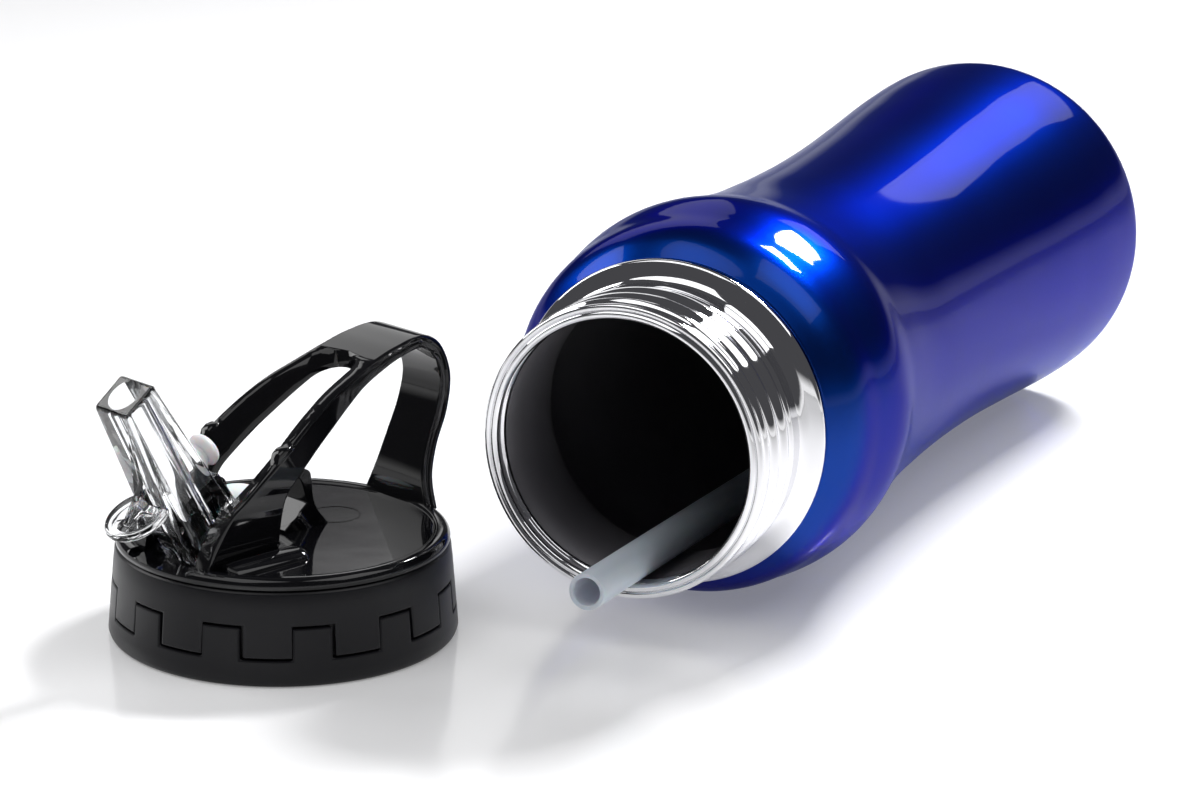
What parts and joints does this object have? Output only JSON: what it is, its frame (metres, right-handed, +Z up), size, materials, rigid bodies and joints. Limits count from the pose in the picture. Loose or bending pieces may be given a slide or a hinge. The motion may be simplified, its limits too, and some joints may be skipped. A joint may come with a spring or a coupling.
{
  "type": "stainless steel straw bottle",
  "caption": "Waisted steel drinking bottle lying open, with a loose straw in its mouth and its screw lid beside it, carrying loop up and flip straw spout open.",
  "frame": {"origin": "centre of the base of the whole group's bounding box, on the plane that the bottle and the lid lie on", "axes": "+Z up, +Y along the lying bottle from its mouth to its base, +X across it; the lid lies on the -X side"},
  "size_m": [0.1208, 0.2457, 0.07],
  "materials": {
    "blue_paint": "deep metallic blue under gloss clear coat",
    "polished_steel": "mirror polished stainless steel",
    "inner_steel": "electropolished satin",
    "satin_black": "fine satin moulded polypropylene",
    "gloss_black": "gloss moulded plastic",
    "clear_plastic": "clear hard plastic",
    "milky_plastic": "milky translucent polypropylene",
    "silicone": "white translucent silicone"
  },
  "bodies": {
    "bottle": {"body_shell": "blue_paint", "threaded_neck": "polished_steel", "inner_liner": "inner_steel", "base_cap": "polished_steel"},
    "straw": {"straw": "milky_plastic"},
    "lid": {"lid_skirt": "satin_black", "lid_grip_ring": "satin_black", "lid_top": "gloss_black", "carry_loop": "gloss_black", "lid_gasket": "silicone", "vent_valve": "silicone", "spout_seal": "silicone"},
    "spout": {"spout": "clear_plastic", "vent_plug": "silicone"}
  },
  "joints": [
    {"name": "lid_lift", "type": "slide", "parent": "bottle", "child": "lid", "axis": [0, 0, 1], "range_m": [0, 0.06]},
    {"name": "spout_hinge", "type": "hinge", "parent": "lid", "child": "spout", "pos_m": [-0.03649, -0.10332, 0.0185], "axis": [-0.9336, 0.3584, 0], "range_deg": [0, 80]},
    {"name": "straw_slide", "type": "slide", "parent": "bottle", "child": "straw", "axis": [0.0174, -0.9988, 0.045], "range_m": [-0.008, 0.17]}
  ]
}
